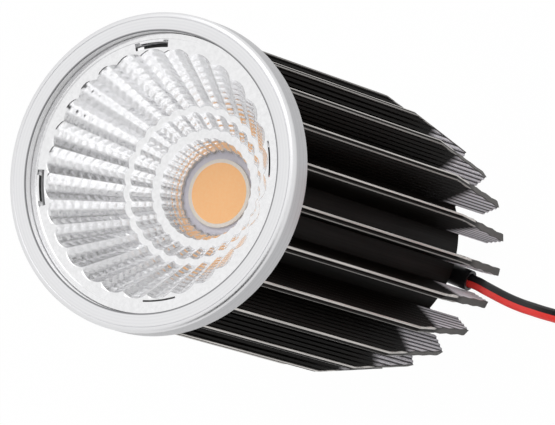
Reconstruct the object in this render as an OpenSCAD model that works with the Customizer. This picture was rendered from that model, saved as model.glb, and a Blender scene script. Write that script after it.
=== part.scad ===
// Spotlight module with a chip-on-board light source: a finned, extruded heatsink, a metallised
// reflector behind a satin front ring, and a red and black lead that leaves at the rear.
// It stands on the rear ends of its fins and shines along +Z. Sizes are in millimetres.

/* [Overall] */
// Length from the rear ends of the fins to the front face of the ring
total_l = 84; // [70:1:100]

/* [Front ring] */
// Outer diameter of the ring
ring_d = 50; // [48:0.5:54]
// Width of the ring's front face
face_w = 3; // [2.5:0.1:3.4]
// Thickness of the skirt that fits over the fins
skirt_t = 1.65; // [1.3:0.05:2]
// Height of the ring's plain side
ring_h = 4.5; // [4:0.25:7]
// Width of the rounded outer front edge
ring_edge = 0.9; // [0.3:0.1:1]
// Depth of the seat below the front face
seat_depth = 2.5; // [2:0.1:3]
// Thickness of the ledge that carries the reflector
ledge_t = 1; // [0.8:0.1:1.4]
// Width of that ledge
ledge_w = 1.4; // [1:0.1:1.6]

/* [Heatsink] */
// Number of fins
fin_count = 22; // [18:1:26]
// Diameter of the solid core
core_d = 33; // [32.6:0.2:34]
// Thickness of a fin between its ridges
fin_t = 0.9; // [0.7:0.1:1.2]
// Ridges on each side of a fin
ridge_count = 9; // [6:1:10]
// Height of a ridge
ridge_h = 0.2; // [0.1:0.05:0.25]
// Depth of the groove along each fin's tip
tip_groove = 0.2; // [0.1:0.05:0.3]
// Length of the tapered rear part of the fins
taper_l = 22; // [12:1:30]
// Amount by which each fin tip moves in over the taper
taper_w = 3.3; // [1:0.1:4]
// Depth of the recess between the rear ends of the fins
recess_depth = 9.5; // [9.5:0.5:14]

/* [Reflector] */
// Number of flutes round the reflector
flute_count = 28; // [20:1:32]
// Depth of a flute at the rim
flute_depth = 0.75; // [0.3:0.05:0.85]
// Angle by which the flutes are turned about the axis
flute_turn = 6.5; // [0:0.5:13]
// Width of the flange round the fluted mouth
flange_w = 3.2; // [3:0.1:3.6]
// Diameter of the throat round the light source
throat_d = 13; // [12.6:0.1:13.4]
// Wall thickness of the reflector
reflector_t = 0.9; // [0.8:0.1:1]
// Thickness of its flange
flange_t = 1; // [0.8:0.1:1.2]
// Length of each slot along the flange
slot_l = 5.6; // [4:0.2:7]
// Width of each slot
slot_w = 0.9; // [0.6:0.1:1]
// Angle of the first slot about the axis
slot_turn = 26; // [0:1:89]

/* [Light source] */
// Depth of the board's upper face below the front face
board_depth = 23.2; // [22.6:0.1:26]
// Distance from a solder pad's centre to the board's edges
pad_edge = 0.7; // [0.7:0.05:1]
// Thickness of the board
board_t = 1; // [0.8:0.1:1.5]
// Thickness of the thermal pad below it
pad_t = 0.2; // [0.1:0.05:0.5]
// Diameter of the light-emitting face
emitter_d = 9.7; // [9:0.1:10.4]
// Width of the dam round it
dam_w = 0.6; // [0.4:0.1:0.8]
// Height of the dam above the board
dam_h = 0.5; // [0.3:0.05:0.8]
// Side of each light-emitting die
die_w = 1; // [0.6:0.1:1.2]
// Spacing of the dies
die_pitch = 2; // [1.6:0.1:2.1]

/* [Holder] */
// Diameter of the plastic holder
holder_d = 30; // [29:0.2:30.4]
// Height of the holder
holder_h = 3.2; // [3:0.1:4]
// Distance of its screws from the axis
screw_r = 11.8; // [11.6:0.1:12]
// Thread diameter of its screws
screw_d = 2.5; // [2:0.1:2.6]
// Length of a screw below its head
screw_l = 8; // [6:0.5:12]

/* [Lead] */
// Diameter of one insulated wire
wire_d = 1.1; // [0.9:0.1:1.2]
// Outer diameter of the sleeve round both wires
sleeve_d = 3.4; // [3.2:0.1:3.8]
// Distance of the wire channel from the axis
channel_r = 11; // [10.8:0.1:11.4]
// Height of the lead above the rear plane where it leaves the sleeve
exit_z = 5.2; // [4:0.1:5.4]
// Distance from the axis at which the sleeve ends
exit_r = 18.1; // [17.5:0.1:19]
// Largest radius of the coiled lead
coil_r = 13.5; // [12:0.5:15]
// Turns in the coil
coil_turns = 2; // [2:1:3]

/* [Hidden] */
$fn = 96;
slit = 0.05;

// Levels, measured up from the rear plane
ring_base_z = total_l - ring_h;
seat_z = total_l - seat_depth;
sink_top_z = seat_z - ledge_t;
board_z = total_l - board_depth;
floor_z = board_z - board_t - pad_t;
holder_top_z = floor_z + holder_h;

// Radii
ring_r = ring_d / 2;
ring_bore_r = ring_r - face_w;
fin_r = ring_r - skirt_t - slit;
core_r = core_d / 2;
rear_r = fin_r - taper_w;
ledge_r = ring_bore_r - ledge_w;
mouth_r = ring_bore_r - flange_w;
throat_r = throat_d / 2;
holder_r = holder_d / 2;
wire_r = wire_d / 2;
emitter_r = emitter_d / 2;

// Heatsink
fin_pitch = 360 / fin_count;
recess_r = core_r + 0.2;
pocket_r = holder_r + 0.4;
hook_bay_r = ring_bore_r - 0.4;
hook_bay_depth = 3.2;
channel_d = sleeve_d + 0.2;

// Reflector: radius and depth below the front face of each corner of its stepped wall
flange_gap = 0.15;
flange_r = ring_bore_r - flange_gap;
flange_top_d = seat_depth - flange_t;
lip_w = 0.8;
lip_h = 0.25;
mouth_at = [mouth_r, flange_top_d + lip_h];
step_1 = [12.1, 14.5];
step_2 = [11.2, 14.9];
step_3 = [9, 18];
step_4 = [7.9, 18.4];
throat_at = [throat_r, board_depth - 0.2];
slot_gap = 0.15;
slot_r = mouth_r + flute_depth + slot_gap;

// Board: its two solder pads just clear the reflector's throat
joint_r = 0.7;
joint_gap = 0.456;
joint_xy = (throat_r + reflector_t + joint_gap + joint_r) / sqrt(2);
board_w = 2 * (joint_xy + pad_edge);

// Lead
sleeve_bend = recess_depth - exit_z - 0.3;
sleeve_in = 8;
twin_gap = 0.02;
wire_x = wire_r + twin_gap / 2;
tie_t = 0.3;
coil_z = wire_r + tie_t;
coil_step = 2 * wire_d + 0.1;
coil_inner_r = coil_r - coil_step * coil_turns;
coil_center = [coil_r, -46];
lead_path = [
  [0, -exit_r, exit_z], [0, -19.5, 5.1], [-0.2, -21, 4.7], [-0.4, -22.5, 4], [-0.6, -24, 3.1],
  [-0.7, -25.5, 2.3], [-0.7, -27, 1.6], [-0.6, -28.5, 1.1], [-0.5, -30, 0.8], [-0.3, -32, 0.6],
  [-0.1, -34, 0.6], [0, -36, 0.6], [0, -38.2, 0.7]
];

function unit(v) = v / norm(v);
function lerp(a, b, t) = a + (b - a) * t;

// Tangent of a path at point i
function tangent(path, i) =
  unit(path[min(i + 1, len(path) - 1)] - path[max(i - 1, 0)]);

// A closed outline of section points swept along a path, its width as near to X as can be
module sweep(path, section) {
  n = len(section);
  rings = len(path);
  points = [
    for (i = [0:rings - 1])
      let (t = tangent(path, i), side = unit([1, 0, 0] - t[0] * t), up = cross(side, t))
        for (s = section) path[i] + side * s[0] + up * s[1]
  ];
  walls = [
    for (i = [0:rings - 2], j = [0:n - 1])
      let (a = i * n + j, b = i * n + (j + 1) % n) [a, a + n, b + n, b]
  ];
  first = [for (j = [0:n - 1]) j];
  last = [for (j = [n - 1:-1:0]) (rings - 1) * n + j];
  polyhedron(points, concat(walls, [first, last]), convexity = 4);
}

// Half outline of one fin along +X: ridged side first, then its grooved tip
tip_edge = 0.12;
function fin_side(sign) = [
  for (i = [0:2 * ridge_count])
    [
      lerp(core_r - 0.6, fin_r - 0.5, i / (2 * ridge_count)),
      sign * (fin_t / 2 + (i % 2) * ridge_h)
    ]
];
function fin_tip(sign) = [
  [fin_r - 0.4, sign * (fin_t / 2 + ridge_h / 2)],
  [fin_r - tip_edge, sign * (fin_t / 2 + ridge_h / 2)],
  [fin_r, sign * (fin_t / 2 + ridge_h / 2 - tip_edge)],
  [fin_r, sign * 0.2]
];
function reversed(list) = [for (i = [len(list) - 1:-1:0]) list[i]];

module fin_outline() {
  polygon(concat(
    fin_side(-1), fin_tip(-1), [[fin_r - tip_groove, 0]], reversed(fin_tip(1)),
    reversed(fin_side(1))
  ));
}

module heatsink() {
  taper = (fin_r - rear_r) / taper_l;
  color([0.06, 0.055, 0.05])
  difference() {
    linear_extrude(height = sink_top_z, convexity = 10) {
      circle(r = core_r);
      for (i = [0:fin_count - 1])
        rotate(-90 + (i + 0.5) * fin_pitch) fin_outline();
    }
    // Turned taper at the rear
    rotate_extrude()
      polygon([
        [rear_r - taper, -1], [fin_r + taper, taper_l + 1], [fin_r + 2, taper_l + 1],
        [fin_r + 2, -1]
      ]);
    // Recess between the rear ends of the fins
    translate([0, 0, -1]) cylinder(r = recess_r, h = recess_depth + 1);
    // Front pocket for the reflector and the light source
    rotate_extrude()
      polygon([
        [0, floor_z], [pocket_r, floor_z], [pocket_r, cone_base_z], [cone_r, cone_top_z],
        [hook_bay_r, cone_top_z], [hook_bay_r, sink_top_z + 1], [0, sink_top_z + 1]
      ]);
    // Channel for the wires
    translate([0, -channel_r, recess_depth - 1])
      cylinder(d = channel_d, h = floor_z - recess_depth + 2);
    // Threaded holes for the holder's screws
    for (x = [-screw_r, screw_r])
      translate([x, 0, holder_top_z - screw_l - 0.5]) cylinder(d = screw_d, h = screw_l);
  }
}

module front_ring() {
  color([0.82, 0.82, 0.83])
  rotate_extrude()
    polygon([
      [ring_bore_r, total_l], [ring_r - ring_edge, total_l],
      [ring_r - ring_edge * 0.3, total_l - ring_edge * 0.25],
      [ring_r, total_l - ring_edge * 0.7],
      [ring_r, ring_base_z], [fin_r + slit, ring_base_z], [fin_r + slit, sink_top_z],
      [ledge_r, sink_top_z], [ledge_r, seat_z], [ring_bore_r, seat_z]
    ]);
}

// Rows of the reflector's wall: radius, depth and share of the flute depth
outer_rows = [for (t = [0:1/3:1]) concat(lerp(mouth_at, step_1, t), [1])];
middle_rows = [for (t = [0:1/2:1]) concat(lerp(step_2, step_3, t), [1])];
inner_rows = [for (t = [0:1/2:1]) concat(lerp(step_4, throat_at, t), [0.6])];
function behind(corner, down) = [
  corner[0] * (1 + flute_depth / mouth_r) + reflector_t * 0.67, corner[1] + reflector_t * down, 0
];
back_r = slot_r + 0.02;
back_rows = [
  [throat_r + reflector_t, throat_at[1], 0],
  behind(step_4, 0.4), behind(step_3, 0.6), behind(step_2, 0.7), behind(step_1, 0.7),
  [back_r, seat_depth + 0.4, 0],
  [back_r, mouth_at[1], 0]
];

// Conical part of the heatsink's pocket, level with the reflector's back and clear of it
cone_gap = 0.5;
cone_slope = (back_r - behind(step_1, 0.7)[0]) / (behind(step_1, 0.7)[1] - seat_depth - 0.4);
cone_top_z = sink_top_z - hook_bay_depth;
cone_r = back_r + cone_gap - cone_slope * (ledge_t + hook_bay_depth - 0.4);
cone_base_z = cone_top_z - (cone_r - pocket_r) / cone_slope;

// One closed shell with the flutes on its inside
module fluted_shell() {
  rows = concat(outer_rows, middle_rows, inner_rows, back_rows);
  samples = 4;
  n = flute_count * samples;
  points = [
    for (row = rows, j = [0:n - 1])
      let (
        u = (j % samples) / samples,
        bulge = 4 * u * (1 - u) * flute_depth * row[0] / mouth_r * row[2],
        r = row[0] + bulge,
        a = flute_turn + j * 360 / n
      )
      [r * cos(a), r * sin(a), total_l - row[1]]
  ];
  faces = [
    for (i = [0:len(rows) - 1], j = [0:n - 1])
      let (
        k = (i + 1) % len(rows),
        a = i * n + j, b = i * n + (j + 1) % n, c = k * n + (j + 1) % n, d = k * n + j
      )
      each [[a, c, b], [a, d, c]]
  ];
  polyhedron(points, faces, convexity = 8);
}

// Arc-shaped bar round the axis
module arc_bar(r1, r2, z1, z2, angle) {
  rotate(-angle / 2)
    rotate_extrude(angle = angle) translate([r1, z1]) square([r2 - r1, z2 - z1]);
}

// Hook below each slot, caught under the ring's ledge
module snap_hook(r, angle) {
  barb_r = ledge_r + 0.5;
  barb_z = sink_top_z - slit;
  rotate(-angle / 2)
    rotate_extrude(angle = angle)
      polygon([
        [r - 0.5, seat_z + 0.1], [r, seat_z + 0.1], [r, barb_z], [barb_r, barb_z],
        [barb_r, barb_z - 0.25], [r, barb_z - 1.3], [r - 0.5, barb_z - 1.3]
      ]);
}

module reflector() {
  slot_a = slot_l / slot_r * 180 / PI;
  flange_z = total_l - flange_top_d;
  root_r = slot_r - slot_gap / 2;
  color([0.86, 0.86, 0.87])
  union() {
    fluted_shell();
    for (i = [0:3]) rotate(slot_turn + i * 90) snap_hook(slot_r, slot_a * 0.8);
    difference() {
      rotate_extrude()
        polygon([
          [root_r, seat_z], [flange_r, seat_z], [flange_r, flange_z], [flange_r - lip_w, flange_z],
          [flange_r - lip_w, flange_z - lip_h], [root_r, flange_z - lip_h]
        ]);
      for (i = [0:3])
        rotate(slot_turn + i * 90) {
          arc_bar(slot_r, slot_r + slot_w, seat_z - 1, flange_z + 1, slot_a);
          for (side = [-1, 1])
            rotate(side * (slot_a / 2 - 1.2))
              arc_bar(slot_r, slot_r + slot_w + 0.3, seat_z - 1, flange_z + 1, 2.4);
        }
    }
  }
}

module cob_board() {
  color([0.9, 0.9, 0.88])
  translate([-board_w / 2, -board_w / 2, board_z - board_t]) cube([board_w, board_w, board_t]);
}

module cob_dam() {
  color([0.93, 0.89, 0.82])
  translate([0, 0, board_z])
  difference() {
    cylinder(r = emitter_r + dam_w, h = dam_h);
    translate([0, 0, -1]) cylinder(r = emitter_r, h = dam_h + 2);
  }
}

// Positions of the dies: a square grid without its four corners
die_grid = [-1.5, -0.5, 0.5, 1.5];
die_t = 0.15;
module each_die() {
  for (i = die_grid, j = die_grid)
    if (abs(i) + abs(j) < 3) translate([i * die_pitch, j * die_pitch, board_z]) children();
}

module led_dies() {
  color([0.35, 0.45, 0.75])
  each_die() translate([-die_w / 2, -die_w / 2, 0]) cube([die_w, die_w, die_t]);
}

module cob_phosphor() {
  color([0.95, 0.72, 0.42])
  difference() {
    translate([0, 0, board_z]) cylinder(r = emitter_r, h = dam_h - 0.05);
    each_die() translate([-die_w / 2, -die_w / 2, -1]) cube([die_w, die_w, die_t + 1]);
  }
}

module thermal_pad() {
  color([0.6, 0.62, 0.66])
  translate([-board_w / 2, -board_w / 2, floor_z]) cube([board_w, board_w, pad_t]);
}

// The wires end on the board's two corners next to the channel
wire_run_z = board_z + wire_r + 0.05;

module solder_joints() {
  color([0.75, 0.76, 0.78])
  for (side = [-1, 1])
    translate([side * joint_xy, -joint_xy, board_z]) cylinder(r1 = joint_r, r2 = 0.5, h = 0.9);
}

module holder_hole(side) {
  translate([side * screw_r, 0, floor_z - 1]) cylinder(d = screw_d + 0.3, h = holder_h + 2);
}

module cob_holder() {
  wire_bay_r = channel_r + sleeve_d / 2 + 0.5;
  color([0.92, 0.92, 0.9])
  difference() {
    translate([0, 0, floor_z]) cylinder(r = holder_r, h = holder_h);
    // Square seat of the board
    translate([-board_w / 2 - slit, -board_w / 2 - slit, floor_z - 1])
      cube([board_w + 2 * slit, board_w + 2 * slit, 1 + pad_t + board_t]);
    // Stepped window for the reflector's throat
    translate([0, 0, floor_z]) cylinder(r = throat_r + reflector_t + 0.7, h = holder_h + 1);
    translate([0, 0, board_z + 0.9]) cylinder(r = step_4[0] + reflector_t + 0.3, h = holder_h);
    // Bay for the wires
    rotate([0, 0, -90])
      arc_bar(throat_r, wire_bay_r, floor_z - 1, holder_top_z + 1, 112);
    holder_hole(-1);
    holder_hole(1);
  }
}

module holder_screws() {
  head_r = screw_d * 0.9;
  head_h = screw_d * 0.6;
  color([0.7, 0.7, 0.72])
  for (x = [-screw_r, screw_r])
    translate([x, 0, holder_top_z]) {
      translate([0, 0, -screw_l]) cylinder(d = screw_d, h = screw_l);
      difference() {
        cylinder(r = head_r, h = head_h);
        for (a = [0, 90])
          rotate(a) translate([-head_r * 0.55, -0.2, head_h * 0.4]) cube([head_r * 1.1, 0.4, head_h]);
      }
    }
}

// Round bar, hollow where an inner diameter is given
module bar(d, length, inner = 0) {
  difference() {
    cylinder(d = d, h = length);
    if (inner > 0) translate([0, 0, -1]) cylinder(d = inner, h = length + 2);
  }
}

// Quarter bend from -Z at the origin to -Y
module bend(d, radius, inner) {
  mirror([0, 0, 1]) translate([0, -radius, 0]) rotate([90, 0, 90])
    rotate_extrude(angle = 90) translate([radius, 0])
      difference() {
        circle(d = d);
        circle(d = inner);
      }
}

module lead_sleeve() {
  inner = 2 * wire_d + 0.3;
  bend_z = exit_z + sleeve_bend;
  color([0.07, 0.07, 0.07]) {
    translate([0, -channel_r, bend_z]) bar(sleeve_d, recess_depth + sleeve_in - bend_z, inner);
    translate([0, -channel_r, bend_z]) bend(sleeve_d, sleeve_bend, inner);
    translate([0, -channel_r - sleeve_bend, exit_z]) rotate([90, 0, 0])
      bar(sleeve_d, exit_r - channel_r - sleeve_bend, inner);
  }
}

// Route of one wire: from the end of the sleeve up the channel, then level to its joint
top_bend = 1.5;
function wire_route(side) =
  let (
    x = side * wire_x,
    foot = [x, -channel_r, exit_z + sleeve_bend],
    top = [x, -channel_r, wire_run_z - top_bend],
    joint = [side * joint_xy, -joint_xy, wire_run_z],
    heading = unit([joint[0] - x, joint[1] + channel_r, 0])
  )
  concat(
    [[x, -exit_r, exit_z]],
    [for (a = [0:22.5:90]) foot + sleeve_bend * [0, sin(a) - 1, -cos(a)]],
    [for (a = [0:30:90]) top + top_bend * (heading * (1 - cos(a)) + [0, 0, sin(a)])],
    [joint - joint_r * heading]
  );
round_section = [for (a = [22.5:45:337.5]) wire_r * [cos(a), sin(a)]];

module inner_wire(side) {
  sweep(wire_route(side), round_section);
}

module red_wire() {
  color([0.85, 0.1, 0.08]) inner_wire(-1);
}

module black_wire() {
  color([0.05, 0.05, 0.05]) inner_wire(1);
}

// Flat twin cord: two wires moulded side by side
twin_section = [
  [1, 0.2], [0.7, 0.5], [-0.7, 0.5], [-1, 0.2], [-1, -0.2], [-0.7, -0.5], [0.7, -0.5], [1, -0.2]
];

module twin_lead() {
  color([0.8, 0.1, 0.08])
  sweep(lead_path, [for (p = twin_section) p * wire_d]);
}

module lead_coil() {
  color([0.5, 0.07, 0.06])
  translate([coil_center[0], coil_center[1], coil_z - wire_r])
    rotate_extrude()
      translate([coil_inner_r - wire_d, 0]) square([coil_r - coil_inner_r + 2 * wire_d, wire_d]);
}

module coil_tie() {
  tie_w = 2.5;
  width = coil_r - coil_inner_r + 2 * wire_d + 0.2;
  color([0.1, 0.1, 0.1])
  translate([coil_center[0], coil_center[1], 0])
    translate([coil_inner_r - wire_d - 0.1, -tie_w / 2, 0])
      difference() {
        translate([-tie_t, 0, 0]) cube([width + 2 * tie_t, tie_w, wire_d + 2 * tie_t + 0.1]);
        translate([0, -1, tie_t]) cube([width, tie_w + 2, wire_d + 0.1]);
      }
}

module tinned_ends() {
  end_l = 5;
  color([0.8, 0.8, 0.82])
  translate([coil_center[0], coil_center[1], coil_z])
    rotate(200)
      for (side = [-1, 1])
        translate([coil_inner_r - 2 * wire_d + side * wire_x, 0, 0])
          rotate([90, 0, 0]) cylinder(d = 0.7, h = end_l);
}

heatsink();
front_ring();
reflector();
cob_board();
cob_dam();
cob_phosphor();
led_dies();
solder_joints();
thermal_pad();
cob_holder();
holder_screws();
red_wire();
black_wire();
lead_sleeve();
twin_lead();
lead_coil();
coil_tie();
tinned_ends();
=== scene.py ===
import bmesh
import bpy
import numpy as np
from mathutils import Matrix, Vector


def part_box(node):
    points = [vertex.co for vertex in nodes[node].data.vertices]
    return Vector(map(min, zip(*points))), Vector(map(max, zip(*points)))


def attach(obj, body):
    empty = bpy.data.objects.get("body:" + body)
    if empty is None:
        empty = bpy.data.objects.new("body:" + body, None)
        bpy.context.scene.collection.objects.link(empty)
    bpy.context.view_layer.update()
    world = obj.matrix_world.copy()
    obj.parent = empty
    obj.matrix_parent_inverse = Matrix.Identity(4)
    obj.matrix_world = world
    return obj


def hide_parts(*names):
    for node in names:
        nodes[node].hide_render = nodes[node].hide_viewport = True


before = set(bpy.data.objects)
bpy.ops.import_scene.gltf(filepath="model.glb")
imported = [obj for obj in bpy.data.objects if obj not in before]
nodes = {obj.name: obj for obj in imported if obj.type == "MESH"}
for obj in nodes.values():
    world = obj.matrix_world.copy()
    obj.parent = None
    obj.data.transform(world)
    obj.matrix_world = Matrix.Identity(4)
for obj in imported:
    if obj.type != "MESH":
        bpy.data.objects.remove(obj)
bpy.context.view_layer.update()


def mm(value):
    """Millimetres as metres: the number times a thousandth."""
    return np.asarray(value, float) * 0.001


# ---------------------------------------------------------------- view


def place_camera(target, azimuth, elevation, roll, distance, lens):
    """A camera on a sphere round the target: back = (sin az cos el, -cos az cos el, sin el),
    and its right-hand side turned by roll in the picture plane."""
    az, el, turn = np.radians([azimuth, elevation, roll])
    back = Vector((np.sin(az) * np.cos(el), -np.cos(az) * np.cos(el), np.sin(el)))
    level = Vector((np.cos(az), np.sin(az), 0))
    right = level * np.cos(turn) + back.cross(level) * np.sin(turn)
    up = back.cross(right)
    data = bpy.data.cameras.new("view")
    data.lens, data.sensor_width = lens, 36
    data.clip_start, data.clip_end = 0.01, 20
    camera = bpy.data.objects.new("view", data)
    bpy.context.scene.collection.objects.link(camera)
    camera.matrix_world = Matrix.Translation(Vector(target) + back * distance) @ Matrix(
        (right, up, back)
    ).transposed().to_4x4()
    bpy.context.scene.camera = camera


place_camera(
    target=(-0.00011, -0.00039, 0.042), azimuth=4.36, elevation=61.11, roll=-72.62,
    distance=1.1158, lens=454.8,
)

# ---------------------------------------------------------------- sizes, in millimetres

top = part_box("front_ring")[1].z * 1000
ring_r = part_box("front_ring")[1].x * 1000
flange_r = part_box("reflector")[1].x * 1000
emitter_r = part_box("cob_phosphor")[1].x * 1000
board_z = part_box("cob_board")[1].z * 1000
fin_r = 23.3  # over the fin tips
fin_count = 22
core_r = 16.5  # the heatsink's solid core
ridge_pitch = float(mm((fin_r - 0.5 - core_r + 0.6) / 9))  # in metres, as the finishes use it
taper_l, taper_w = 22, 3.3  # the rear taper of the fins, along and across
ring_h = 4.5
seat_depth = 2.5  # from the ring's face down to the ledge that the reflector sits on
ledge_t = 1
bore_r = flange_r + 0.15
ledge_r = bore_r - 1.4
groove_r = 24.14  # a fine groove in the ring's face
flute_count = 28
flute_depth = 0.75
flute_turn = 6.5  # degrees
mouth_r = 18.8  # to the flutes' crests
wall_t = 0.9
rim_depth, face_depth = 1.5, 1.75  # of the flange's raised rim and of its face
rim_r = 21.05  # where the raised rim starts
slot_r = mouth_r + flute_depth + 0.15  # the slots' inner edge
slot_w = 0.9
slot_l = 5.6
slot_turn = 26  # degrees
shell_r = slot_r + 0.02  # the wall's outside, just past the slots' inner edge
wire_d = 1.1

# ---------------------------------------------------------------- mesh helpers


def grid_quads(rows, columns, close_rows=False, close_columns=False):
    """Quads of a rows x columns grid of points, as indices: (i, j), (i, j+1), (i+1, j+1), (i+1, j).
    A closed direction joins its last line to its first."""
    i = np.arange(rows if close_rows else rows - 1)[:, None]
    j = np.arange(columns if close_columns else columns - 1)[None, :]
    i2, j2 = (i + 1) % rows, (j + 1) % columns
    quads = np.stack(
        np.broadcast_arrays(i * columns + j, i * columns + j2, i2 * columns + j2, i2 * columns + j),
        -1,
    )
    return quads.reshape(-1, 4)


def add_piece(name, points, faces, materials, sharp, which=None):
    """A mesh piece in the part's frame that rides on the body. Doubled points are merged, so that
    seams and poles are closed, faces are turned outwards, and edges over `sharp` degrees stay
    crisp. `which` gives each face the number of its material."""
    mesh = bpy.data.meshes.new(name)
    mesh.from_pydata(np.asarray(points, float).reshape(-1, 3).tolist(), [], faces)
    for material in materials:
        mesh.materials.append(material)
    if which is not None:
        mesh.polygons.foreach_set("material_index", np.asarray(which, np.int32))
    shape = bmesh.new()
    shape.from_mesh(mesh)
    bmesh.ops.remove_doubles(shape, verts=shape.verts, dist=1e-7)
    bmesh.ops.recalc_face_normals(shape, faces=shape.faces)
    shape.to_mesh(mesh)
    shape.free()
    mesh.shade_smooth()
    mesh.set_sharp_from_angle(angle=np.radians(sharp))
    piece = bpy.data.objects.new(name, mesh)
    bpy.context.scene.collection.objects.link(piece)
    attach(piece, "root")
    return piece


def polar(radius, angle, height):
    """Points round the Z axis, (r cos a, r sin a, h), over arrays that fit one another."""
    return np.stack(
        np.broadcast_arrays(radius * np.cos(angle), radius * np.sin(angle), height), -1
    )


def turned(profile, segments):
    """A closed outline of (radius, height) turned about the Z axis:
    x = r cos a, y = r sin a, z = h, for each outline point and each of the segments' angles a."""
    r, h = np.asarray(profile, float).T[:, :, None]
    a = np.linspace(0, 2 * np.pi, segments, endpoint=False)[None, :]
    return polar(r, a, h), grid_quads(len(profile), segments, True, True).tolist()


def rounded(outline, steps=5):
    """An outline of (x, y, corner radius) with each corner cut back by its radius and filled by a
    quadratic curve: p(t) = (1-t)^2 a + 2t(1-t) corner + t^2 b."""
    outline = np.asarray(outline, float)
    corner, radius = outline[:, :2], outline[:, 2:]
    before, after = np.roll(corner, 1, 0) - corner, np.roll(corner, -1, 0) - corner
    start = corner + before / np.linalg.norm(before, axis=1, keepdims=True) * radius
    end = corner + after / np.linalg.norm(after, axis=1, keepdims=True) * radius
    t = np.linspace(0, 1, steps)[None, :, None]
    curve = (
        (1 - t) ** 2 * start[:, None] + 2 * t * (1 - t) * corner[:, None] + t**2 * end[:, None]
    )
    keep = np.ones(curve.shape[:2], bool)
    keep[radius[:, 0] == 0, 1:] = False
    return curve[keep]


def smooth_path(points, per_span):
    """A Catmull-Rom curve through the points: each span blends its two ends and their two
    neighbours."""
    p = np.asarray(points, float)
    p = np.vstack([2 * p[0] - p[1], p, 2 * p[-1] - p[-2]])
    t = np.linspace(0, 1, per_span, endpoint=False)[None, :, None]
    a, b, c, d = (p[k:len(p) - 3 + k, None] for k in range(4))
    curve = 0.5 * (
        2 * b + (c - a) * t + (2 * a - 5 * b + 4 * c - d) * t**2 + (3 * b - a - 3 * c + d) * t**3
    )
    return np.vstack([curve.reshape(-1, 3), points[-1]])


def bridge(a, b, leave, arrive, steps):
    """A curve from a (not included) to b with the given tangents at its ends:
    p(t) = (2t^3 - 3t^2 + 1) a + (t^3 - 2t^2 + t) leave + (3t^2 - 2t^3) b + (t^3 - t^2) arrive."""
    t = np.linspace(0, 1, steps)[1:, None]
    return (
        (2 * t**3 - 3 * t**2 + 1) * a + (t**3 - 2 * t**2 + t) * leave
        + (3 * t**2 - 2 * t**3) * b + (t**3 - t**2) * arrive
    )


def carried(section, path):
    """A closed section of (across, up) carried along a path that never stands upright:
    point = path + across * side + up * top, with side = Z x tangent and top = tangent x side."""
    path = np.asarray(path, float)
    tangent = np.gradient(path, axis=0)
    tangent /= np.linalg.norm(tangent, axis=1, keepdims=True)
    side = np.cross([0, 0, 1], tangent)
    side /= np.linalg.norm(side, axis=1, keepdims=True)
    top = np.cross(tangent, side)
    s = np.asarray(section, float)[None]
    return path[:, None] + side[:, None] * s[..., :1] + top[:, None] * s[..., 1:]


# ---------------------------------------------------------------- material helpers


def linear(hex_code):
    """An sRGB hex colour as linear RGBA: c/12.92 below 0.04045, else ((c + 0.055)/1.055)^2.4."""
    c = np.array([int(hex_code[k:k + 2], 16) for k in (1, 3, 5)]) / 255
    c = np.where(c <= 0.04045, c / 12.92, ((c + 0.055) / 1.055) ** 2.4)
    return (*c.tolist(), 1.0)


def add(tree, kind, sockets=None, **settings):
    """Adds one node. settings are its properties; sockets maps an input's name or number to a value
    or to another node's output, which is linked."""
    node = tree.nodes.new("ShaderNode" + kind)
    for key, value in settings.items():
        setattr(node, key, value)
    for key, value in (sockets or {}).items():
        if isinstance(value, bpy.types.NodeSocket):
            tree.links.new(value, node.inputs[key])
        else:
            node.inputs[key].default_value = value
    return node


def calc(tree, operation, *values):
    """One arithmetic step on values that are numbers or other nodes' outputs."""
    return add(tree, "Math", dict(enumerate(values)), operation=operation).outputs[0]


def slope(tree, value, start, end, low=0.0, high=1.0):
    """A value that runs from low at start to high at end, and stays level beyond them."""
    return add(tree, "MapRange", {0: value, 1: start, 2: end, 3: low, 4: high}).outputs[0]


def noise(tree, vector, scale, detail=2.0):
    """Soft noise with the given number of features per metre."""
    return add(tree, "TexNoise", {"Vector": vector, "Scale": scale, "Detail": detail}).outputs[0]


def tones(tree, value, *pairs):
    """A colour ramp over a value, from (position, hex colour) pairs."""
    node = add(tree, "ValToRGB", {0: value})
    for element, (position, colour) in zip(node.color_ramp.elements, pairs):
        element.position = position
        element.color = linear(colour)
    return node.outputs["Color"]


def blend(tree, factor, first, second):
    """The first colour where the factor is 0, and the second where it is 1."""
    return add(tree, "Mix", {0: factor, 6: first, 7: second}, data_type="RGBA").outputs[2]


def from_axis(tree, x, y):
    """The distance from the module's axis: sqrt(x^2 + y^2)."""
    return calc(tree, "SQRT", calc(tree, "MULTIPLY_ADD", y, y, calc(tree, "MULTIPLY", x, x)))


def empty_material(name):
    """A new material and its node tree, with nothing in it."""
    material = bpy.data.materials.new(name)
    material.use_nodes = True
    material.node_tree.nodes.clear()
    return material, material.node_tree


def finish_named(name, levels=None):
    """A material with its node tree, a shader node with the given levels, and the object
    coordinates."""
    material, tree = empty_material(name)
    shader = add(tree, "BsdfPrincipled", levels)
    add(tree, "OutputMaterial", {"Surface": shader.outputs[0]})
    return material, tree, shader, add(tree, "TexCoord").outputs["Object"]


def dress(tree, shader, colour, roughness, height, strength, distance):
    """Links a finish's colour, roughness and relief to its shader. distance is the relief's depth
    in metres."""
    tree.links.new(colour, shader.inputs["Base Color"])
    tree.links.new(roughness, shader.inputs["Roughness"])
    relief = add(tree, "Bump", {"Strength": strength, "Distance": distance, "Height": height})
    tree.links.new(relief.outputs[0], shader.inputs["Normal"])


# ---------------------------------------------------------------- finishes


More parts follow.
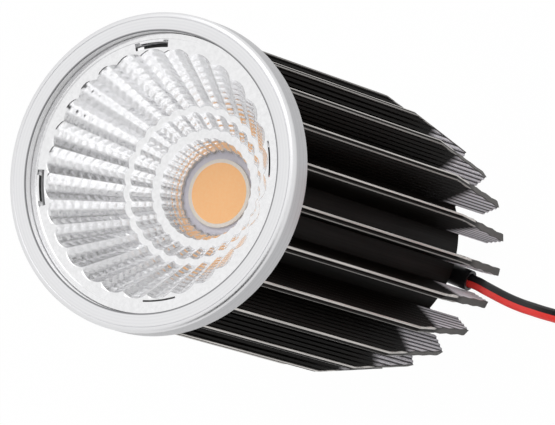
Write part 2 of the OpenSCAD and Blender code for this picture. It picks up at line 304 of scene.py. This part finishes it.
def anodised_black():
    """Black-dyed anodised aluminium, extruded: a matt, nearly black skin with fine die lines along
    the fins. The two edges of each fin tip are worn to bright metal, and the edge on the lit side
    is painted brighter as a painted highlight. Where the fins stand free of the core at the rear,
    their ridged flanks are painted light grey as painted light, with painted shade in the grooves."""
    # the dyed, unsealed skin swallows light, so its gloss is well below bare alumina's
    material, tree, shader, place = finish_named("black_anodised_aluminium", {"IOR": 1.12})
    x, y, z = add(tree, "SeparateXYZ", {0: place}).outputs
    radius = from_axis(tree, x, y)
    # the tips' own radius: constant, then less along the rear taper
    tip = slope(tree, z, 0.0, float(mm(taper_l)), float(mm(fin_r - taper_w)), float(mm(fin_r)))
    outer = slope(tree, calc(tree, "SUBTRACT", tip, radius), 0.00022, 0.00012)
    # offset across a fin: the angle's share of a pitch, less a half, times radius and pitch
    pitch = 2 * np.pi / fin_count
    share = calc(
        tree, "MULTIPLY_ADD", calc(tree, "ARCTAN2", y, x), 1 / pitch,
        (0.5 * np.pi) / pitch + fin_count,
    )
    share = calc(tree, "SUBTRACT", calc(tree, "FRACT", share), 0.5)
    across = calc(tree, "MULTIPLY", calc(tree, "MULTIPLY", share, radius), pitch)
    # one edge of each tip is worn wide and the other thin. The wide edge is painted at full
    # strength and the thin one at half, a painted highlight on the side the light falls on. Both
    # stop 15 mm above the rear ends, where painted shade begins.
    wide = slope(tree, across, 0.00016, 0.00024)
    thin = slope(tree, across, -0.00036, -0.00042, 0.0, 0.5)
    rubbed_and_highlight = calc(tree, "MULTIPLY", calc(tree, "MAXIMUM", wide, thin), outer)
    rubbed_and_highlight = calc(tree, "MULTIPLY", rubbed_and_highlight, slope(tree, z, 0.0145, 0.0155))
    # die lines 0.15 mm apart across the fins, long along Z
    stretched = add(tree, "Mapping", {0: place, 3: (7000, 7000, 60)}).outputs[0]
    lines = noise(tree, stretched, 1.0)
    dye = tones(tree, noise(tree, place, 160.0, 3.0), (0.3, "#0c0907"), (0.7, "#120e0b"))
    # free rear ends: flanks painted light grey as painted light from behind, with painted shade as
    # a dark line in each groove between two ridges, and darker grey tips
    wave = calc(tree, "SINE", calc(tree, "MULTIPLY", radius, 2 * np.pi / ridge_pitch))
    painted_light_sides = tones(tree, slope(tree, wave, -1.0, 1.0), (0.12, "#4a484a"), (0.45, "#e6e3e8"))
    painted_light_sides = blend(tree, outer, painted_light_sides, linear("#5b5957"))
    low_end = slope(tree, z, 0.0155, 0.0125)
    off_core = slope(tree, radius, float(mm(core_r + 0.1)), float(mm(core_r + 0.6)))
    skin = blend(tree, calc(tree, "MULTIPLY", low_end, off_core), dye, painted_light_sides)
    edge = tones(tree, lines, (0.35, "#aaa6a2"), (0.7, "#e0dcd8"))
    dress(
        tree, shader, blend(tree, rubbed_and_highlight, skin, edge), slope(tree, lines, 0.3, 0.7, 0.4, 0.52),
        lines, 0.25, 0.00003,
    )
    tree.links.new(rubbed_and_highlight, shader.inputs["Metallic"])
    return material


def satin_ring_finish():
    """Turned and glass-blasted aluminium with a clear anodised skin: soft, nearly even highlights
    with fine turning lines round the axis."""
    material, tree, shader, place = finish_named("satin_turned_aluminium")
    x, y, z = add(tree, "SeparateXYZ", {0: place}).outputs
    radius = from_axis(tree, x, y)
    # turning lines 0.1 mm apart, drawn 0.25 mm apart so that they show, along radius and height
    lines = noise(tree, add(tree, "CombineXYZ", {0: radius, 1: z}).outputs[0], 4000.0)
    grit = noise(tree, place, 5000.0)
    face = tones(tree, lines, (0.3, "#dcdcde"), (0.7, "#e6e6e7"))
    shaded_band = tones(tree, lines, (0.3, "#adadaf"), (0.7, "#c0c0c2"))
    # the ring's outer side below the rounded edge is painted greyer, as painted shade where it
    # faces away from the light
    outside = slope(tree, radius, 0.0246, 0.0249)
    below_edge = slope(tree, z, 0.0834, 0.0828)
    tone = blend(tree, calc(tree, "MULTIPLY", outside, below_edge), face, shaded_band)
    # the bore: painted nearly white, painted light that lifts it out of its shade, with a darker
    # line along its sharp upper edge
    bore = slope(tree, radius, 0.02235, 0.02215)
    tone = blend(tree, bore, tone, linear("#f6f6f7"))
    rim = calc(tree, "MULTIPLY", slope(tree, z, 0.08382, 0.0839), bore)
    tone = blend(tree, rim, tone, linear("#77777a"))
    dress(tree, shader, tone, slope(tree, grit, 0.3, 0.7, 0.32, 0.42), lines, 0.2, 0.00002)
    # the bore's wall is made nearly non-metallic, so that its near-white paint shows as painted
    # light and does not mirror its dark surroundings
    tree.links.new(slope(tree, radius, 0.02215, 0.02235, 0.1, 1.0), shader.inputs["Metallic"])
    return material


def metallised_finish():
    """Vacuum-metallised polycarbonate: a thin aluminium mirror under clear lacquer, whose slight
    orange peel softens what it reflects."""
    material, tree, shader, place = finish_named("metallised_polycarbonate")
    peel = noise(tree, place, 1500.0)
    tone = tones(tree, peel, (0.3, "#e9e9ea"), (0.7, "#f1f1f2"))
    dress(tree, shader, tone, slope(tree, peel, 0.3, 0.7, 0.1, 0.17), peel, 0.15, 0.00003)
    # the lacquer hazes: a twentieth of the light is scattered where the wall faces the camera, and
    # at a glancing angle the wall turns mostly to diffuse near-white, a painted white reflection in
    # place of what the mirror would show
    facing = add(tree, "LayerWeight", {"Blend": 0.5}).outputs["Facing"]
    tree.links.new(slope(tree, facing, 0.7, 0.9, 0.95, 0.1), shader.inputs["Metallic"])
    return material


def moulded(name, dark, light, roughness, scale, depth=0.00001, levels=None):
    """Moulded or cast plastic, rubber or silicone: two close tones in a fine cloud, a satin skin
    and a shallow grain of the given scale per metre and depth in metres."""
    material, tree, shader, place = finish_named(name, levels)
    grain = noise(tree, place, scale, 3.0)
    rough = slope(tree, grain, 0.3, 0.7, roughness - 0.05, roughness + 0.05)
    dress(tree, shader, tones(tree, grain, (0.3, dark), (0.7, light)), rough, grain, 0.3, depth)
    return material


def metal(name, dark, light, roughness, depth=0.00001):
    """A bare metal: the moulded recipe with a fully metallic shader."""
    return moulded(name, dark, light, roughness, 2500.0, depth, {"Metallic": 1.0})


def phosphor_finish():
    """Silicone full of orange-yellow phosphor: a warm, even face with a faint painted emission that
    stands in for light and shines whatever light falls on it."""
    painted_glow = {"Emission Color": linear("#ff9a4a"), "Emission Strength": 0.12}
    return moulded("phosphor_silicone", "#fbc489", "#fdca92", 0.35, 3000.0, levels=painted_glow)


# ---------------------------------------------------------------- ring

satin = satin_ring_finish()
ring_profile = rounded(
    [
        (bore_r, top, 0.12),
        (groove_r - 0.04, top, 0), (groove_r, top - 0.07, 0), (groove_r + 0.06, top, 0),
        (ring_r, top, 0.75), (ring_r, top - ring_h, 0.15),
        (fin_r + 0.05, top - ring_h, 0.1), (fin_r + 0.05, top - seat_depth - ledge_t, 0),
        (ledge_r, top - seat_depth - ledge_t, 0.1), (ledge_r, top - seat_depth, 0.1),
        (bore_r, top - seat_depth, 0),
    ]
)
points, quads = turned(mm(ring_profile), 288)
ring = add_piece("turned_front_ring", points, quads, [satin], sharp=50)
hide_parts("front_ring")

# ---------------------------------------------------------------- reflector


def stage(start, end, rows, share, pillow_rows, pillow_h):
    """Rows of one straight stage of the wall: radius and depth go evenly from start to end, with a
    share of the flute depth, and the phase and height of the rows of pillows."""
    t = np.linspace(0, 1, rows)
    return np.stack(
        [
            start[0] + (end[0] - start[0]) * t, start[1] + (end[1] - start[1]) * t,
            np.full(rows, share), t * pillow_rows, np.full(rows, pillow_h),
        ],
        -1,
    )


def fluted_shell(rows, per_flute, pillow_columns):
    """The reflector's closed wall. At angle a the flute is at u = frac((a - turn) / pitch), and
    radius = r + share * depth * (r / mouth) * 4u(1-u) - pillow * |sin(pi n t)| * |sin(pi m u)|,
    so each flute is a gutter between two sharp crests, quilted with rows of small pillows."""
    count = flute_count * per_flute
    a = np.linspace(0, 2 * np.pi, count, endpoint=False)[None]
    u = (np.arange(count) % per_flute / per_flute)[None]
    r, depth, share, phase, pillow = rows.T[:, :, None]
    bulge = share * flute_depth * r / mouth_r * 4 * u * (1 - u)
    quilt = pillow * np.abs(np.sin(np.pi * phase)) * np.abs(np.sin(np.pi * pillow_columns * u))
    radius = r + bulge - quilt
    points = polar(radius, a + np.radians(flute_turn), top - depth)
    return points.reshape(-1, 3), grid_quads(len(rows), count, True, True)


def behind(corner, down):
    """The wall's back at a corner of its front: clear of the gutters, and down by a share of the
    wall's thickness."""
    return corner[0] * (1 + flute_depth / mouth_r) + wall_t * 0.67, corner[1] + wall_t * down


inner_share = 0.6  # of the flute depth, for the shallower flutes of the innermost stage
# corners of the stepped wall: radius and depth below the ring's face
step_1, step_2, step_3, step_4 = (12.15, 14.6), (11.2, 14.72), (9.15, 18.12), (7.9, 18.24)
throat = (6.5, top - board_z - 0.2)


def inner_terraces(count, lean):
    """Rows of the innermost stage: each of its terraces leans in by `lean` past the straight line
    from the last step to the throat, then steps back out, so it faces up more than the line
    does."""
    first = (step_4[0] - 0.03, step_4[1] + 0.08)
    last = (throat[0] + 0.02, throat[1] - 0.1)
    corners = np.linspace(first, last, count + 1)
    return np.vstack(
        [
            stage(a + (lean, 0.02), b - (lean, 0.02), 13, inner_share, 1, 0.07)
            for a, b in zip(corners[:-1], corners[1:])
        ]
    )


wall_rows = np.vstack(
    [
        # the front, from the mouth's small rounding down over the two steps to the throat
        stage((mouth_r + 0.1, face_depth), (mouth_r, face_depth + 0.07), 3, 1, 0, 0),
        stage((mouth_r - 0.05, face_depth + 0.15), step_1, 109, 1, 9, 0.08),
        stage(step_2, step_3, 37, 1, 3, 0.09),
        stage(step_4, step_4, 1, inner_share, 0, 0),
        inner_terraces(4, 0.16),
        # the back, which is round, up to the flange
        stage(throat, (throat[0] + wall_t, throat[1]), 2, 0, 0, 0),
        stage(behind(step_4, 0.5), behind(step_3, 0.5), 2, 0, 0, 0),
        stage(behind(step_2, 0.8), behind(step_1, 0.6), 2, 0, 0, 0),
        stage((shell_r, seat_depth + 0.4), (shell_r, face_depth), 2, 0, 0, 0),
    ]
)
shell_points, shell_quads = fluted_shell(wall_rows, per_flute=15, pillow_columns=3)


def pierced_plate(angles, radii, heights, floor, solid):
    """A flat ring cut from a polar grid: cells (angle, radius) marked solid get a top at the given
    height per cell ring, a bottom at floor, and walls wherever a solid cell meets an empty one."""
    n = len(angles)
    a, a2 = angles, np.roll(angles, -1)
    r1, r2 = radii[:-1], radii[1:]
    i, j = np.nonzero(solid)
    up = [polar(r1[j], a[i], heights[j]), polar(r2[j], a[i], heights[j]),
          polar(r2[j], a2[i], heights[j]), polar(r1[j], a2[i], heights[j])]
    down = [polar(r1[j], a[i], floor), polar(r1[j], a2[i], floor),
            polar(r2[j], a2[i], floor), polar(r2[j], a[i], floor)]
    faces = [np.stack(up, 1), np.stack(down, 1)]
    # walls across the radius, where the height or the solid mark changes from one ring to the next
    level = np.where(solid, heights[None], floor)
    padded = np.concatenate([np.full((n, 1), floor), level, np.full((n, 1), floor)], 1)
    i, j = np.nonzero(np.abs(np.diff(padded, axis=1)) > 1e-9)
    lo, hi = padded[i, j], padded[i, j + 1]
    faces.append(np.stack([polar(radii[j], a[i], lo), polar(radii[j], a[i], hi),
                           polar(radii[j], a2[i], hi), polar(radii[j], a2[i], lo)], 1))
    # walls across the angle, from one cell to the next round the ring
    before = np.roll(level, 1, 0)
    i, j = np.nonzero(np.abs(level - before) > 1e-9)
    lo, hi = before[i, j], level[i, j]
    faces.append(np.stack([polar(r1[j], a[i], lo), polar(r1[j], a[i], hi),
                           polar(r2[j], a[i], hi), polar(r2[j], a[i], lo)], 1))
    points = np.concatenate(faces).reshape(-1, 3)
    return points, np.arange(len(points)).reshape(-1, 4)


# angles, in radians: a slot's half length, and the short notch that widens each of its ends
slot_half = slot_l / 2 / slot_r
notch = np.radians(2.4)
slot_angles = np.radians(slot_turn + 90 * np.arange(4))
slot_corners = np.array([-slot_half, -slot_half + notch, slot_half - notch, slot_half])
edges = np.sort((slot_angles[:, None] + slot_corners).ravel())
spans = np.diff(np.append(edges, edges[0] + 2 * np.pi))
flange_angles = np.concatenate(
    [e + np.linspace(0, s, max(2, int(s / 0.03)), endpoint=False) for e, s in zip(edges, spans)]
)
slot_out = slot_r + slot_w
flange_radii = np.array([shell_r, slot_r + 0.3, slot_out, slot_out + 0.3, rim_r, flange_r])
plate_heights = top - np.array([face_depth] * 4 + [rim_depth])
# each cell's middle (the last cell joins the first), and its offset from the nearest slot's middle
middle = (flange_angles + np.roll(flange_angles, -1)) / 2
middle[-1] = flange_angles[-1] + 0.01
offset = np.abs((middle - np.radians(slot_turn) + np.pi / 4) % (np.pi / 2) - np.pi / 4)
in_slot = offset < slot_half
in_notch = in_slot & (offset > slot_half - notch)
# two slots are open over their full width, and the two opposite ones nearly closed
open_half = np.cos(middle - np.radians(slot_turn + 45)) > 0
solid = np.ones((len(flange_angles), len(plate_heights)), bool)
solid[in_slot, 0] = False
solid[in_slot & open_half, 1] = False
solid[in_notch & open_half, 2] = False
plate_points, plate_quads = pierced_plate(
    flange_angles, flange_radii, plate_heights, top - seat_depth, solid
)


def snap_hooks(profile, centres, half):
    """Hooks as arcs of a closed (radius, height) outline round Z: for each centre angle c the arc
    runs over a = c - half ... c + half, with both ends closed by the outline itself."""
    n, steps = len(profile), 9
    a = np.asarray(centres)[:, None, None] + np.linspace(-half, half, steps)[None, :, None]
    r, h = np.asarray(profile, float).T[:, None, None]
    points = polar(r, a, h)
    block = steps * n
    faces = grid_quads(steps, n, False, True)
    walls = np.concatenate([faces + k * block for k in range(len(centres))]).tolist()
    ends = [
        list(range(k * block + first, k * block + first + n))
        for k in range(len(centres)) for first in (0, block - n)
    ]
    return points.reshape(-1, 3), walls + ends


# a hook hangs from the flange and its barb catches under the ring's ledge
hook_t = 0.5
hook_top, hook_foot = top - seat_depth + 0.1, top - seat_depth - ledge_t - 1.35
barb_r, barb_z = ledge_r + 0.5, top - seat_depth - ledge_t - 0.05
hook_profile = [
    (slot_r - hook_t, hook_top), (slot_r, hook_top), (slot_r, barb_z), (barb_r, barb_z),
    (barb_r, barb_z - 0.25), (slot_r, hook_foot), (slot_r - hook_t, hook_foot),
]
hook_points, hook_faces = snap_hooks(hook_profile, slot_angles, slot_half * 0.8)
mirror = metallised_finish()
# the hooks stand behind the flange, where no metal reaches the plastic, and are painted near-black
# as painted shade, so that the slots read dark
bare = moulded("bare_polycarbonate_painted_shade", "#1c1c1e", "#262628", 0.45, 2000.0)
plate_start = len(shell_points)
hook_start = plate_start + len(plate_points)
metallised_faces = np.vstack([shell_quads, plate_quads + plate_start]).tolist()
bare_faces = [[k + hook_start for k in face] for face in hook_faces]
reflector = add_piece(
    "metallised_reflector", mm(np.vstack([shell_points, plate_points, hook_points])),
    metallised_faces + bare_faces, [mirror, bare], sharp=38,
    which=[0] * len(metallised_faces) + [1] * len(bare_faces),
)
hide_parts("reflector")

# ---------------------------------------------------------------- light source

phosphor = phosphor_finish()
# the gel is a little hollow, as it was cast inside the dam
gel_profile = np.array(
    [(0.0, board_z + 0.36), (emitter_r * 0.5, board_z + 0.4), (emitter_r - 0.3, board_z + 0.44),
     (emitter_r, board_z + 0.5), (emitter_r, board_z), (0.0, board_z)]
)
points, quads = turned(mm(gel_profile), 96)
gel = add_piece("phosphor_gel", points, quads, [phosphor], sharp=60)
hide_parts("cob_phosphor")

# ---------------------------------------------------------------- lead

# from the sleeve down to the floor, then along it to the coil
route = [
    (0, -18.1, 5.2), (0, -19.5, 5.1), (-0.2, -21, 4.7), (-0.4, -22.5, 4), (-0.6, -24, 3.1),
    (-0.7, -25.5, 2.3), (-0.7, -27, 1.6), (-0.6, -28.5, 1.1), (-0.5, -30, 0.8), (-0.3, -32, 0.6),
    (-0.1, -34, 0.6), (0, -36, 0.6), (0, -38.2, 0.7), (0, -42, 0.83),
]
# the coil lies flat and winds inwards: r = coil_r - coil_step * (a - pi) / 2 pi
coil_centre = np.array([13.5, -46, 0.85])
coil_r, coil_step = 13.5, 2.3
turn = np.radians(np.arange(180, 821, 10))
spiral_r = coil_r - coil_step * (turn - np.pi) / (2 * np.pi)
spiral = coil_centre + polar(spiral_r, turn, 0)


def heading(angle):
    """The direction of travel round the coil at an angle: (-sin a, cos a, 0)."""
    return np.array([-np.sin(angle), np.cos(angle), 0])


# the far end leaves the coil inwards and stops 5 mm before the tinned ends' angle
end_angle, end_r, end_back, pull = np.radians(200), 6.7, 5, 9
cord_end = coil_centre + polar(end_r, end_angle, 0) - end_back * heading(end_angle)
inward = bridge(
    spiral[-1], cord_end, heading(turn[-1]) * pull, heading(end_angle) * pull, steps=12
)
lead_path = np.vstack([smooth_path(route, per_span=4), spiral, inward])

# two round wires side by side with a thin web between them, black on one side and red on the other
half = np.linspace(-0.5 * np.pi, 0.5 * np.pi, 15)[1:-1]
right_half = np.stack([0.5 + 0.5 * np.cos(half), 0.5 * np.sin(half)], -1)
waist = np.array([(0.0, 0.3)])
section = np.vstack([-waist, right_half, waist, -right_half]) * wire_d
rings = carried(mm(section), mm(lead_path))
count = len(section)
lead_quads = grid_quads(len(rings), count, False, True)
lead_side = np.tile(np.arange(count) >= count // 2, len(rings) - 1)
caps = [list(range(count)), list(range((len(rings) - 1) * count, len(rings) * count))]
black_pvc = moulded("black_pvc", "#141313", "#1c1a1a", 0.38, 2500.0)
red_pvc = moulded("red_pvc", "#ff3a34", "#ff4640", 0.36, 2500.0)
lead = add_piece(
    "twin_cord", rings, lead_quads.tolist() + caps, [black_pvc, red_pvc], sharp=50,
    which=np.append(lead_side, [0, 0]),
)
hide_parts("twin_lead", "lead_coil")

# ---------------------------------------------------------------- finishes of the CAD pieces

finishes = {
    "heatsink": anodised_black(),
    "cob_board": moulded("white_solder_mask", "#e0dde6", "#e8e5ee", 0.35, 2000.0),
    "cob_dam": moulded("dam_silicone", "#efe6da", "#f4ece2", 0.4, 3000.0),
    "led_dies": moulded("die_sapphire", "#3a4a80", "#46568e", 0.2, 3000.0),
    "solder_joints": metal("solder", "#b9bbc0", "#c6c8cc", 0.3, 0.00002),
    "thermal_pad": moulded("thermal_silicone", "#8f95a3", "#9aa0ad", 0.7, 2500.0),
    "cob_holder": moulded("white_nylon", "#e6e5e1", "#ecebe8", 0.45, 2500.0),
    "holder_screws": metal("zinc_plated_steel", "#b4b6bb", "#c3c5c9", 0.25),
    "red_wire": red_pvc,
    "black_wire": black_pvc,
    "lead_sleeve": moulded("sleeve_rubber", "#0f0e0e", "#171616", 0.42, 2500.0),
    "coil_tie": moulded("tie_nylon", "#161616", "#1f1e1e", 0.45, 2500.0),
    "tinned_ends": metal("tinned_copper", "#bdbfc4", "#cacbd0", 0.3),
    "front_ring": satin,
    "reflector": mirror,
    "cob_phosphor": phosphor,
    "twin_lead": red_pvc,
    "lead_coil": red_pvc,
}
for name, finish in finishes.items():
    mesh = nodes[name].data
    mesh.materials.clear()
    mesh.materials.append(finish)

# ---------------------------------------------------------------- studio


def seen_rays(tree):
    """1 for rays from the camera and for mirrored or let-through rays, and 0 for the rest."""
    path = add(tree, "LightPath").outputs
    seen = calc(tree, "MAXIMUM", path["Is Camera Ray"], path["Is Glossy Ray"])
    return calc(tree, "MAXIMUM", seen, path["Is Transmission Ray"])


def stage_mesh(name, points, faces, material):
    """An object of the studio, which isn't part of the module."""
    mesh = bpy.data.meshes.new(name)
    mesh.from_pydata(points, [], faces)
    mesh.materials.append(material)
    thing = bpy.data.objects.new(name, mesh)
    bpy.context.scene.collection.objects.link(thing)
    return thing


def backdrop_floor(half_width, own_shading):
    """A wide pale floor. Seen directly or mirrored it is the white of the backdrop, with a faint
    share of its own shading so that the contact shadow stays."""
    material, tree = empty_material("studio_floor")
    share = calc(tree, "MULTIPLY", seen_rays(tree), 1 - own_shading)
    paint = add(tree, "BsdfDiffuse", {"Color": (0.9, 0.9, 0.9, 1)})
    white = add(tree, "Emission", {"Color": (1, 1, 1, 1), "Strength": 1.0})
    mix = add(tree, "MixShader", {0: share, 1: paint.outputs[0], 2: white.outputs[0]})
    add(tree, "OutputMaterial", {"Surface": mix.outputs[0]})
    w = half_width
    corners = [(-w, -w, 0), (w, -w, 0), (w, w, 0), (-w, w, 0)]
    stage_mesh("studio_floor", corners, [(0, 1, 2, 3)], material)


def studio_world():
    """A white room for the camera and for everything that mirrors or lets through, and a slightly
    dimmer one for the light that it sheds."""
    world = bpy.data.worlds.new("studio")
    bpy.context.scene.world = world
    world.use_nodes = True
    tree = world.node_tree
    tree.nodes.clear()
    white = add(tree, "Background", {"Color": (1, 1, 1, 1), "Strength": 1.0})
    soft = add(tree, "Background", {"Color": (0.9, 0.9, 0.9, 1), "Strength": 1.0})
    mix = add(tree, "MixShader", {0: seen_rays(tree), 1: soft.outputs[0], 2: white.outputs[0]})
    add(tree, "OutputWorld", {"Surface": mix.outputs[0]})


def softbox(name, azimuth, elevation, distance, size, power):
    """A square soft light at an azimuth from +X and an elevation, aimed at the module's middle."""
    data = bpy.data.lights.new(name, "AREA")
    data.size, data.energy = size, power
    lamp = bpy.data.objects.new(name, data)
    bpy.context.scene.collection.objects.link(lamp)
    a, e = np.radians([azimuth, elevation])
    away = Vector((np.cos(a) * np.cos(e), np.sin(a) * np.cos(e), np.sin(e)))
    lamp.location = away * distance + Vector((0, 0, 0.06))
    lamp.rotation_euler = away.to_track_quat("Z", "Y").to_euler()


def dark_card(name, azimuths, heights, distance, grey):
    """A dark cloth on a curved frame that metal can mirror: a grid over azimuth and height on a
    cylinder, x = d cos a, y = d sin a, z = h. The camera doesn't see it."""
    material, tree = empty_material(name)
    cloth = add(tree, "BsdfDiffuse", {"Color": (grey, grey, grey, 1)})
    add(tree, "OutputMaterial", {"Surface": cloth.outputs[0]})
    around, up = 24, 8
    a = np.radians(np.linspace(*azimuths, around))[:, None]
    h = np.linspace(*heights, up)[None, :]
    points = polar(distance, a, h).reshape(-1, 3).tolist()
    card = stage_mesh(name, points, grid_quads(around, up).tolist(), material)
    card.visible_camera = False


dark_card("side_card", azimuths=(-165, -108), heights=(0.05, 1.4), distance=0.9, grey=0.05)
softbox("key_softbox", azimuth=10, elevation=52, distance=1.0, size=0.8, power=2.2)
backdrop_floor(half_width=4, own_shading=0.015)
studio_world()
bpy.context.scene.view_settings.view_transform = "Standard"
